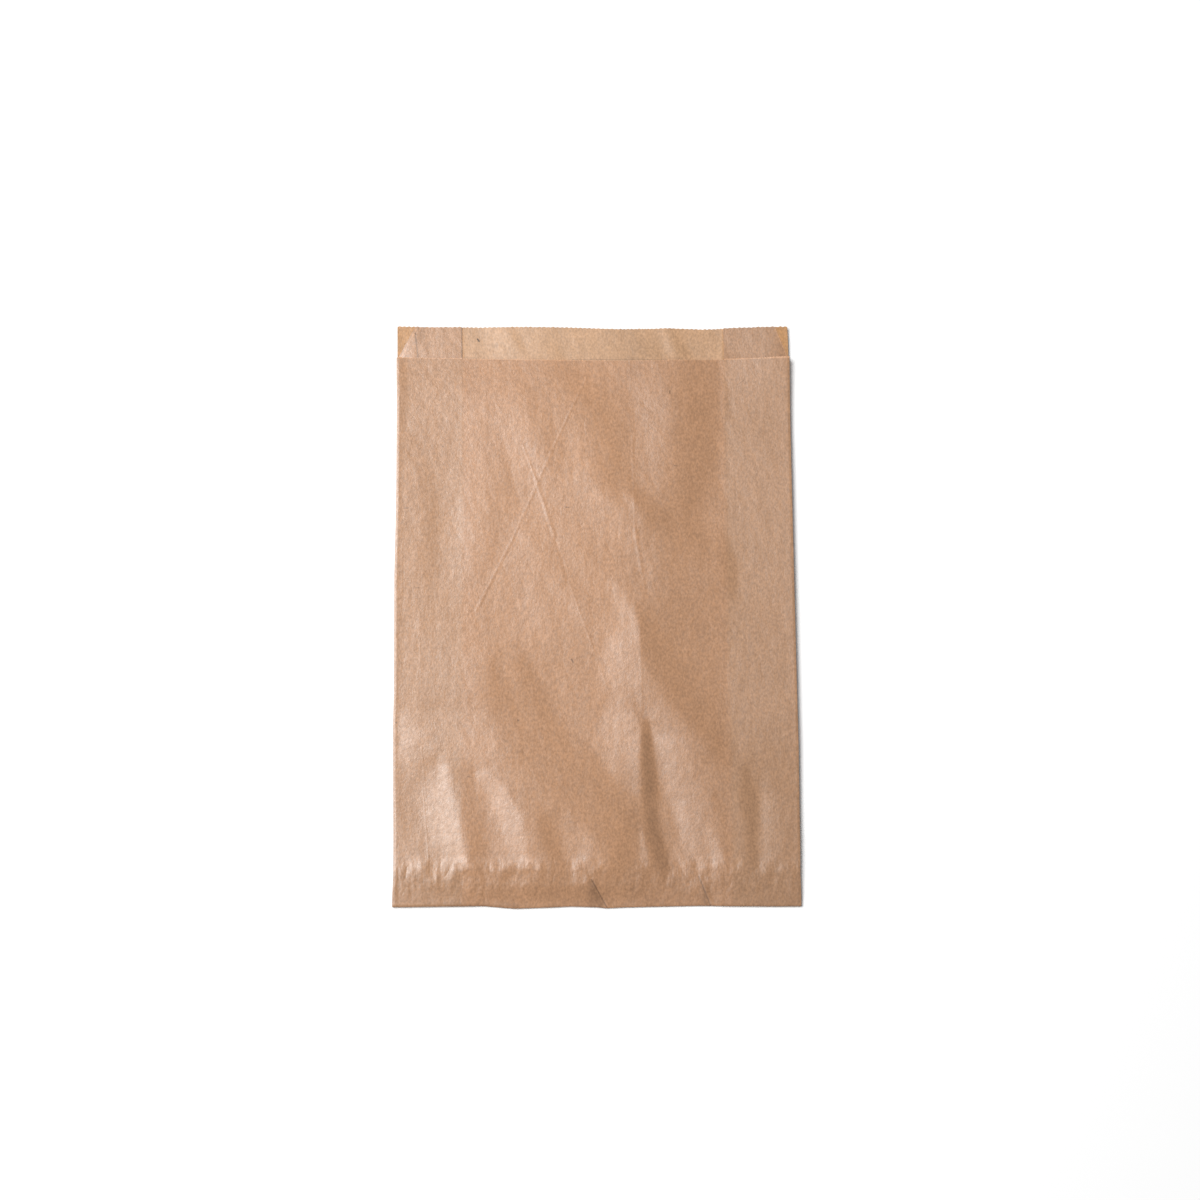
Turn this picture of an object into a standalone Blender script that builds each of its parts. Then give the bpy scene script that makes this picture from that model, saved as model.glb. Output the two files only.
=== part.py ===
"""A paper pastry bag lying flat on its back, mouth towards +Y.

It is one sheet of paper. The sheet is cut to a stepped outline with pinked ends, folded into a tube with a tucked
gusset at each side, lapped and glued down the back, and closed at the bottom by a flap that is turned under and
glued. The back stands out past the front as a lip. Every line of the mesh is a line down the flat sheet, and
folding carries it to its place in the bag.
"""

import math

import bmesh
import bpy

# The folded bag, in metres
BAG_WIDTH = 0.180
FRONT_LENGTH = 0.250
LIP_LENGTH = 0.015
GUSSET_DEPTH = 0.030
FLAP_LENGTH = 0.015
SEAM_EDGE = 0.012
SEAM_LAP = 0.010
TAB_SLANT = 0.006

# The paper, and how closely its layers lie
PAPER = 0.0001
LAYER_GAP = 0.0002
GLUE_LINE = 0.00008
GLUE_MARGIN = 0.001

# The pinked cut
TOOTH_PITCH = 0.0015
TOOTH_DEPTH = 0.0005

# The lengths over which a layer steps down past the flap, off the gussets and off the seam
FLAP_EASE = 0.0055
GUSSET_EASE = 0.003
FRONT_EASE = 0.010
SEAM_EASE = 0.004

# Swells and ridges of the front: a name, points down the crest from the bag's middle, the height of the crest, and
# how far the paper slopes away to its left and to its right, all in millimetres. A valley is a ridge turned down.
RELIEF_UNIT = 0.001
RIDGES = (
    ("loft", ((12, 60), (16, 0), (8, -50), (6, -84)), 2.8, 58, 58),
    ("seam ridge", ((19, 70), (20, 20), (20, -40), (21, -100)), 1.2, 22, 6),
    ("right fold", ((30, -30), (38, -62), (46, -90), (52, -114)), 1.9, 20, 22),
    ("left fold", ((-64, -56), (-61, -84), (-57, -116)), 1.6, 20, 8),
    ("left streak", ((-52, -66), (-40, -86), (-30, -116)), 1.7, 10, 16),
    ("middle swell", ((-16, -70), (-8, -90), (-3, -114)), 0.9, 12, 12),
    ("right streak", ((64, -70), (66, -92), (66, -114)), 0.8, 10, 7),
    ("right edge streak", ((78, -74), (79, -94), (78, -112)), 0.7, 8, 7),
    ("mouth ridge", ((34, 116), (38, 90), (40, 62)), 0.8, 16, 9),
    ("shoulder", ((14, 64), (32, 50), (50, 38), (60, 14)), 0.9, 12, 12),
    ("crossing crease", ((-26, 60), (-16, 24), (-4, -6), (6, -38)), 0.5, 12, 12),
    ("deep valley", ((21, -46), (24, -76), (26, -100), (29, -116)), -1.5, 6, 7),
)
FLAT_MARGIN = 0.004
RELIEF_EASE = 0.008
MOUTH_EASE = 0.024

# Fineness of the mesh
FOLD_TURNS = 3
WRAP_TURNS = 4
GUSSET_COLUMNS = 4
FRONT_COLUMNS = 22
BAND_ROWS = 3
FRONT_ROWS = 31

# The layers of a side, from the back up, and the places that follow from the sizes
BACK, GUSSET_BACK, GUSSET_FRONT, FRONT = 0.0, 1.0, 2.0, 3.0
PITCH = PAPER + LAYER_GAP
LAPPED = (PAPER + GLUE_LINE) / PITCH
LENGTH = FRONT_LENGTH + LIP_LENGTH
SIDE_X = BAG_WIDTH / 2 - (PITCH + PAPER) / 2
CREASE_X = BAG_WIDTH / 2 - GUSSET_DEPTH + (PITCH + PAPER) / 2
SEAM_END = SEAM_EDGE + SEAM_LAP
LAP_FOOT = SEAM_END + LAYER_GAP + SEAM_EASE
FOLD_Y = (FRONT + 2.0) * PITCH / 2 + PAPER / 2
FLAP_Y = FOLD_Y + FLAP_LENGTH - TOOTH_DEPTH
FRONT_Y = FRONT_LENGTH - TOOTH_DEPTH
LIP_Y = LENGTH - TOOTH_DEPTH
UNDER = math.pi


def smooth(value, start, end):
    """0 up to start and 1 from end on, with a smooth rise between them."""
    t = min(max((value - start) / (end - start), 0.0), 1.0)
    return t * t * (3.0 - 2.0 * t)


def ridge_height(x, y, crest, height, left, right):
    """Height that one ridge adds at a point."""
    run = [math.dist(a, b) for a, b in zip(crest, crest[1:])]
    nearest = None
    for i, ((ax, ay), (bx, by)) in enumerate(zip(crest, crest[1:])):
        share = ((x - ax) * (bx - ax) + (y - ay) * (by - ay)) / run[i] ** 2
        share = min(max(share, 0.0), 1.0)
        foot = (ax + share * (bx - ax), ay + share * (by - ay))
        away = math.dist((x, y), foot)
        if nearest is None or away < nearest[0]:
            nearest = (away, x > foot[0], (sum(run[:i]) + share * run[i]) / sum(run))
    away, on_right, along = nearest
    width = right if on_right else left
    if away >= width:
        return 0.0
    fullness = 0.45 + 0.55 * math.sin(math.pi * along)
    return height * fullness * (1.0 - (away / width) ** 2) ** 2


def relief(x, y):
    """How far the front is lifted at a point, in metres; y is the distance from the bottom."""
    at = (x / RELIEF_UNIT, (y - LENGTH / 2) / RELIEF_UNIT)
    lift = sum(ridge_height(*at, *ridge[1:]) for ridge in RIDGES)
    off_side = smooth(SIDE_X - abs(x), FLAT_MARGIN, FLAT_MARGIN + RELIEF_EASE)
    off_flap = smooth(y, FLAP_Y - RELIEF_EASE, FLAP_Y + RELIEF_EASE)
    off_mouth = 1.0 - 0.75 * smooth(y, FRONT_Y - MOUTH_EASE, FRONT_Y)
    return max(lift, 0.0) * RELIEF_UNIT * off_side * off_flap * off_mouth


class Line:
    """A line down the flat sheet: where folding puts it across the bag, in which layer, and which rows it has.

    flap_layer is its layer in the flap, counted from the floor, if it runs on into the flap. fine gives it the many
    rows of the front, and lip carries it on to the end of the lip.
    """

    def __init__(self, x, layer, flap_layer=None, fine=False, lip=False):
        self.x = x
        self.layer = layer
        self.flap_layer = flap_layer
        self.fine = fine
        self.lip = lip
        self.points = {}

    def rows(self):
        """(turn about the bottom fold, distance from the bottom) of each row, from the flap to the mouth."""
        rows = [(0.0, y) for y in (fine_rows() if self.fine else coarse_rows())]
        if self.flap_layer is not None:
            wrap = [(UNDER * i / WRAP_TURNS, FOLD_Y) for i in range(WRAP_TURNS, 0, -1)]
            rows = [(UNDER, FLAP_Y)] + wrap + rows
        if self.lip:
            rows.append((0.0, LIP_Y))
        return rows

    def height(self, y):
        """Height of the middle of the paper above the floor, on top of the bottom fold."""
        on_flap = 1.0 - smooth(y, FLAP_Y + 2 * TOOTH_DEPTH, FLAP_Y + 2 * TOOTH_DEPTH + FLAP_EASE)
        on_gusset_flap = smooth(abs(self.x), CREASE_X - PITCH - GUSSET_EASE, CREASE_X - PITCH)
        height = PAPER / 2 + PITCH * (self.layer + on_flap * (1.0 + on_gusset_flap))
        if self.layer == FRONT:
            between_gussets = 1.0 - smooth(abs(self.x), CREASE_X - FRONT_EASE, CREASE_X)
            height += relief(self.x, y) - PITCH * between_gussets
        return height

    def place(self, turn, y):
        """Where a point goes: turn is 0 on top of the bottom fold and UNDER in the flap."""
        top = self.height(y)
        if turn == 0.0:
            return (self.x, y - LENGTH / 2, top)
        low = PAPER / 2 + PITCH * self.flap_layer
        high = self.height(FOLD_Y)
        out = (high - low) / 2 * math.sin(turn)
        return (self.x, y - LENGTH / 2 - out, (high + low) / 2 + (high - low) / 2 * math.cos(turn))


def coarse_rows():
    """Distances from the bottom of the rows that every line has."""
    leaves_flap = FLAP_Y + 2 * TOOTH_DEPTH
    return [FOLD_Y, leaves_flap, leaves_flap + FLAP_EASE / 2, leaves_flap + FLAP_EASE, FRONT_Y]


def fine_rows():
    """The coarse rows and, between them, those that the swells of the front need."""
    fold, leaves_flap, _, on_floor, front = coarse_rows()
    band = [fold + (leaves_flap - fold) * i / BAND_ROWS for i in range(1, BAND_ROWS)]
    field = [on_floor + (front - on_floor) * i / FRONT_ROWS for i in range(1, FRONT_ROWS)]
    return sorted(coarse_rows() + band + field)


def fold_lines(x, side, first, second, flap_layers=None):
    """The lines inside a sharp fold between two layers. It bulges towards side, which is -1 or 1."""
    lines = []
    for i in range(1, FOLD_TURNS):
        turn = math.pi * i / FOLD_TURNS
        share = (1.0 - math.cos(turn)) / 2
        flap_layer = flap_layers and flap_layers[0] + share * (flap_layers[1] - flap_layers[0])
        lines.append(Line(x + side * PITCH / 2 * math.sin(turn), first + share * (second - first), flap_layer))
    return lines


def gusset_lines(side):
    """One side of the bag, from its fold with the back to its fold with the front."""
    outer, inner, tab_corner = side * SIDE_X, side * CREASE_X, side * (SIDE_X - TAB_SLANT)
    lines = fold_lines(outer, side, BACK, GUSSET_BACK)
    lines += [Line(outer, GUSSET_BACK), Line(tab_corner, GUSSET_BACK, lip=True), Line(inner, GUSSET_BACK, lip=True)]
    lines += fold_lines(inner, -side, GUSSET_BACK, GUSSET_FRONT)
    lines += [Line(inner, GUSSET_FRONT, 1.0), Line(outer, GUSSET_FRONT, 1.0)]
    return lines + fold_lines(outer, side, GUSSET_FRONT, FRONT, (1.0, 0.0))


def front_lines():
    """The front, from its left fold to its right one."""
    flat_x = SIDE_X - FLAT_MARGIN
    gusset = [flat_x + (CREASE_X - flat_x) * i / GUSSET_COLUMNS for i in range(GUSSET_COLUMNS)]
    middle = [CREASE_X * (2.0 * i / FRONT_COLUMNS - 1.0) for i in range(FRONT_COLUMNS + 1)]
    inside = [-x for x in gusset] + middle + gusset[::-1]
    fine = [Line(x, FRONT, 0.0, fine=True) for x in inside]
    return [Line(-SIDE_X, FRONT, 0.0)] + fine + [Line(SIDE_X, FRONT, 0.0)]


def sheet_lines():
    """Every line across the sheet, from the seam's outer edge round the bag to its inner one."""
    gusset_flap = (CREASE_X - PITCH, CREASE_X - PITCH - GUSSET_EASE)
    left = [Line(x, BACK, lip=True) for x in (SEAM_END, SEAM_EDGE, -gusset_flap[1], -gusset_flap[0], -SIDE_X)]
    right = [Line(x, BACK, lip=True) for x in (SIDE_X, *gusset_flap, LAP_FOOT)]
    right += [Line(x, LAPPED, lip=True) for x in (SEAM_END + LAYER_GAP, SEAM_EDGE)]
    return left + gusset_lines(-1) + front_lines() + gusset_lines(1)[::-1] + right


def teeth(mesh, left, right, turn, y):
    """The points of the pinked cut between two lines."""
    count = max(1, round(abs(right.x - left.x) / TOOTH_PITCH))
    points = []
    for i in range(1, 2 * count):
        share = i / (2 * count)
        layer = left.layer + share * (right.layer - left.layer)
        between = Line(left.x + share * (right.x - left.x), layer, left.flap_layer)
        points.append(mesh.verts.new(between.place(turn, y + i % 2 * TOOTH_DEPTH)))
    return points


def add_strip(mesh, left, right):
    """The faces between two neighbouring lines, one between each pair of rows that both have."""
    left_rows, right_rows = left.rows(), right.rows()
    shared = [row for row in left_rows if row in right_rows]
    pinked = abs(right.x - left.x) > TOOTH_PITCH
    for low, high in zip(shared, shared[1:]):
        up = [left.points[row] for row in span(left_rows, low, high)]
        down = [right.points[row] for row in span(right_rows, low, high)][::-1]
        start = teeth(mesh, left, right, *low)[::-1] if pinked and low == (UNDER, FLAP_Y) else []
        cut = high == left_rows[-1] == right_rows[-1]
        end = teeth(mesh, left, right, *high) if pinked and cut else []
        mesh.faces.new(up + end + down + start)
    if pinked and left.lip != right.lip:
        tip = left if left.lip else right
        mesh.faces.new((left.points[shared[-1]], tip.points[(0.0, LIP_Y)], right.points[shared[-1]]))


def span(rows, low, high):
    return rows[rows.index(low) : rows.index(high) + 1]


def collection(name):
    made = bpy.data.collections.new(name)
    bpy.context.scene.collection.children.link(made)
    return made


def paper_object(name, mesh, thickness, holder):
    """An object made of a folded surface, with its thickness."""
    data = bpy.data.meshes.new(name)
    mesh.to_mesh(data)
    mesh.free()
    made = bpy.data.objects.new(name, data)
    holder.objects.link(made)
    solid = made.modifiers.new("thickness", "SOLIDIFY")
    solid.thickness = thickness
    solid.offset = 0.0
    solid.use_even_offset = True
    split = made.modifiers.new("long faces split", "TRIANGULATE")
    split.min_vertices = 5
    return made


def kraft():
    """Unbleached kraft paper with a slight glaze."""
    material = bpy.data.materials.new("kraft_paper")
    material.use_nodes = True
    shader = material.node_tree.nodes["Principled BSDF"]
    shader.inputs["Base Color"].default_value = (0.60, 0.36, 0.23, 1.0)
    shader.inputs["Roughness"].default_value = 0.55
    shader.inputs["Metallic"].default_value = 0.0
    return material


def pastry_bag(holder):
    """The folded sheet."""
    mesh = bmesh.new()
    lines = sheet_lines()
    for line in lines:
        line.points = {row: mesh.verts.new(line.place(*row)) for row in line.rows()}
    for left, right in zip(lines, lines[1:]):
        add_strip(mesh, left, right)
    made = paper_object("pastry_bag", mesh, PAPER, holder)
    made.data.materials.append(kraft())
    return made


def add_glue(bag, name, sides, ys, layers, holder):
    """Joins two layers by a line of glue, which is half sunk in each."""
    mesh = bmesh.new()
    middle = sum(layers) / 2
    columns = [Line(x, middle) for x in sides]
    rows = [[mesh.verts.new(line.place(0.0, y)) for line in columns] for y in ys]
    for near, far in zip(rows, rows[1:]):
        mesh.faces.new((near[0], near[1], far[1], far[0]))
    glue = paper_object(name, mesh, (layers[1] - layers[0]) * PITCH, holder)
    glue.hide_render = True
    glue.display_type = "WIRE"
    union = bag.modifiers.new(name, "BOOLEAN")
    union.operation = "UNION"
    union.solver = "EXACT"
    union.object = glue


def main():
    for leftover in list(bpy.data.objects):
        bpy.data.objects.remove(leftover)
    bag = pastry_bag(collection("paper_pastry_bag"))
    glue_lines = collection("glue_lines")
    fold, *levels, _ = coarse_rows()
    lap = (SEAM_EDGE + GLUE_MARGIN, SEAM_END - GLUE_MARGIN)
    lap_rows = (fold + GLUE_MARGIN, *levels, LIP_Y - GLUE_MARGIN)
    add_glue(bag, "seam_glue", lap, lap_rows, (BACK, LAPPED), glue_lines)
    flap_rows = (fold + GLUE_MARGIN, FLAP_Y - GLUE_MARGIN)
    flap_end = CREASE_X - PITCH - GUSSET_EASE - GLUE_MARGIN
    for name, sides in (("left", (-flap_end, SEAM_END - GLUE_MARGIN)), ("right", (LAP_FOOT + GLUE_MARGIN, flap_end))):
        add_glue(bag, f"flap_glue_{name}", sides, flap_rows, (BACK - 1.0, BACK), glue_lines)


main()
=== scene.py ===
"""The paper pastry bag as it lies in the photo: creased kraft paper on a white floor, seen from above.

The bag is one folded sheet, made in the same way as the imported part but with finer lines. The front's
swells are drawn as leans towards the light, and the heights follow from them.
"""

import math
import random

import bpy
import numpy as np
from mathutils import Euler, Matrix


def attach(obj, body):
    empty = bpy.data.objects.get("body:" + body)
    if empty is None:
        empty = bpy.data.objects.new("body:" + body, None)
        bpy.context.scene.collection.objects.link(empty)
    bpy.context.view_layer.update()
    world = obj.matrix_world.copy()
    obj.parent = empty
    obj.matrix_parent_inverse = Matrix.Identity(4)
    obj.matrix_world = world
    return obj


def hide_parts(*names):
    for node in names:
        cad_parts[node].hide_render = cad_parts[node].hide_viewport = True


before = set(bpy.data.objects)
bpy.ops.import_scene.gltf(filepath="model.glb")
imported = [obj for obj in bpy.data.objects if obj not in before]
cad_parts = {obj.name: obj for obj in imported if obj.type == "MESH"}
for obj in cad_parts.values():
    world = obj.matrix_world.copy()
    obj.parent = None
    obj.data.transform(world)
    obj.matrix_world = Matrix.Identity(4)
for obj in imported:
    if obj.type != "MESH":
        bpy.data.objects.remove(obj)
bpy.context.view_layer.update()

# The folded bag, in metres. The corners of its tabs slant in at the lip, left and right
BAG_WIDTH = 0.180
FRONT_LENGTH = 0.250
LIP_LENGTH = 0.015
GUSSET_DEPTH = 0.030
FLAP_LENGTH = 0.015
SEAM_EDGE = 0.012
SEAM_LAP = 0.010
TAB_SLANTS = {-1: 0.0082, 1: 0.0058}
PAPER = 0.0001
LAYER_GAP = 0.0002
GLUE_LINE = 0.00008
MM = 0.001

# The pinked cuts: how far apart the teeth are, how deep, and the shares of that depth they are cut to
TOOTH_PITCH = 0.0015
TOOTH_DEPTH = 0.0005
TOOTH_SHARES = (0.35, 0.9)

# The lengths over which the layers come down past the flap, the gusset's flap and the seam's lap
FLAP_EASE = 0.0055
GUSSET_EASE = 0.003
SEAM_EASE = 0.004

# The layers of a side, from the back up, and the places that follow from the sizes
BACK, GUSSET_BACK, GUSSET_FRONT, FRONT = 0.0, 1.0, 2.0, 3.0
PITCH = PAPER + LAYER_GAP
LAPPED = (PAPER + GLUE_LINE) / PITCH
LENGTH = FRONT_LENGTH + LIP_LENGTH
SIDE_X = BAG_WIDTH / 2 - (PITCH + PAPER) / 2
CREASE_X = BAG_WIDTH / 2 - GUSSET_DEPTH + (PITCH + PAPER) / 2
SEAM_END = SEAM_EDGE + SEAM_LAP
FOLD_Y = (FRONT + 2.0) * PITCH / 2 + PAPER / 2
FLAP_Y = FOLD_Y + FLAP_LENGTH - TOOTH_DEPTH
FLAP_END = FLAP_Y + 2 * TOOTH_DEPTH
FRONT_Y = FRONT_LENGTH - TOOTH_DEPTH
LIP_Y = LENGTH - TOOTH_DEPTH
# The turn about the bottom fold of what lies under it
UNDER = math.pi

# How far the front can sink between the gussets and is lifted in the middle, in millimetres, and how
# sharply it turns where it comes to lie on the layers under it
SINK = 0.35
MIDDLE_LIFT = 0.8
STIFFNESS = 6.0

# The lengths, in metres, over which the front goes down between the gussets, and over the ends of the flap
# and of the gussets under it
BETWEEN_EASE = 0.012
OVER_FLAP_EASE = 0.035
OVER_GUSSET_EASE = 0.012

# Where the front's relief rises, in metres: from the side folds in, from the bottom fold up, and for the
# lift of the middle; and how much flatter it gets, and over which length, towards the mouth
SIDE_RISE = 0.003
HEM_RISE = (-0.002, 0.010)
MIDDLE_RISE = 0.02
MOUTH_FLATTER = 0.45
MOUTH_FADE = 0.03

# The layers under the front near the mouth, in metres: how far below its edge they begin to follow it and do
# so fully, by what share, how far they stand up at least, over which length they lie down towards the
# gussets, and how far below the edge their own folds begin
LIP_RISE = (0.032, 0.004)
LIP_FOLLOW = 0.55
LIP_STAND = 0.0002
LIP_EASE = 0.038
LIP_FOLDS = 0.006

# The curl of the mouth's right corner: its height in millimetres, and in metres where it starts across the
# bag and how far below the front's edge
CORNER_CURL = 1.9
CURL_X = 0.056
CURL_LENGTH = 0.035

# How far the side folds spring open, in millimetres, at places up the bag from its middle, and how the
# gusset bends up to them
LEFT_SPRING = ((-132, 0.0), (-118, 0.3), (-80, 0.6), (-56, 1.4), (-30, 1.9), (30, 2.3), (84, 2.7),
               (104, 2.8), (118, 2.2))
RIGHT_SPRING = ((-132, 0.0), (-118, 1.4), (-60, 2.3), (60, 2.3), (118, 1.7))
SPRING_BEND = 1.6

# Fineness of the mesh: the turns in a side fold and in the bottom fold, and the steps between lines and rows,
# in metres. Only the front has fine rows all the way up. SIDE_MARGIN is between its fold and its first line,
# and an edge is sharp from the angle SHARP on, in degrees
FOLD_TURNS = 6
WRAP_TURNS = 8
FRONT_STEP = 0.0013
SEAM_STEP = 0.0008
SEAM_SPAN = (0.015, 0.031)
BACK_STEP = 0.0021
HEM_END = 0.027
HEM_STEP = 0.00075
COARSE_STEP = 0.010
MOUTH_START = 0.226
MOUTH_STEP = 0.0011
SIDE_MARGIN = 0.0012
SHARP = 50.0

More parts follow.
